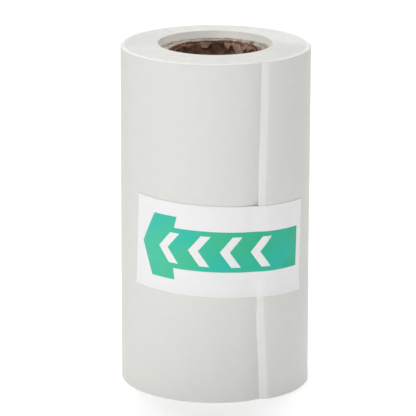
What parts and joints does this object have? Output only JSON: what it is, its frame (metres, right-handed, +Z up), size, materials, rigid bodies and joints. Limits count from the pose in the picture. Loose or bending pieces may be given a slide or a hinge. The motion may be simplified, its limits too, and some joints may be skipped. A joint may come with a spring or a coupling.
{
  "type": "thermal label roll",
  "caption": "Roll of self-adhesive thermal label paper wound on a spiral paperboard core, closed by a peelable printed seal across its loose tail.",
  "frame": {"origin": "on the roll's axis, in the plane of the web's lower edges, on which the roll stands", "axes": "+Z up along the roll's axis and the core's bore; -Y faces the viewer, through the middle of the printed seal; the tail's free edge stands 27.5 degrees to the right of -Y, towards +X"},
  "size_m": [0.0313, 0.0313, 0.057],
  "materials": {
    "core_board": "rough brown paperboard",
    "tape": "double-sided tissue tape",
    "liner_paper": "smooth translucent glassine",
    "face_paper": "smooth matt thermal coating",
    "seal_paper": "semi-gloss coated paper, printed"
  },
  "bodies": {
    "roll": {"core_inner_ply": "core_board", "core_ply_2": "core_board", "core_ply_3": "core_board", "core_ply_4": "core_board", "core_outer_ply": "core_board", "start_tape": "tape", "inner_turns_liner": "liner_paper", "inner_turns_face": "face_paper", "outer_turn_liner": "liner_paper", "outer_turn_face": "face_paper"},
    "tail": {"tail_liner": "liner_paper", "tail_face": "face_paper", "seal_anchor": "seal_paper"},
    "seal_flap": {"seal_tab": "seal_paper"}
  },
  "joints": [
    {"name": "tail_lift", "type": "hinge", "parent": "roll", "child": "tail", "pos_m": [0.01454, 0.00587, 0.0285], "axis": [0, 0, 1], "range_deg": [0, 60], "stiffness_Nm_per_rad": 0.0002},
    {"name": "seal_peel", "type": "hinge", "parent": "tail", "child": "seal_flap", "pos_m": [0.00721, -0.01405, 0.0255], "axis": [0, 0, 1], "range_deg": [0, 110], "stiffness_Nm_per_rad": 0.00005}
  ]
}
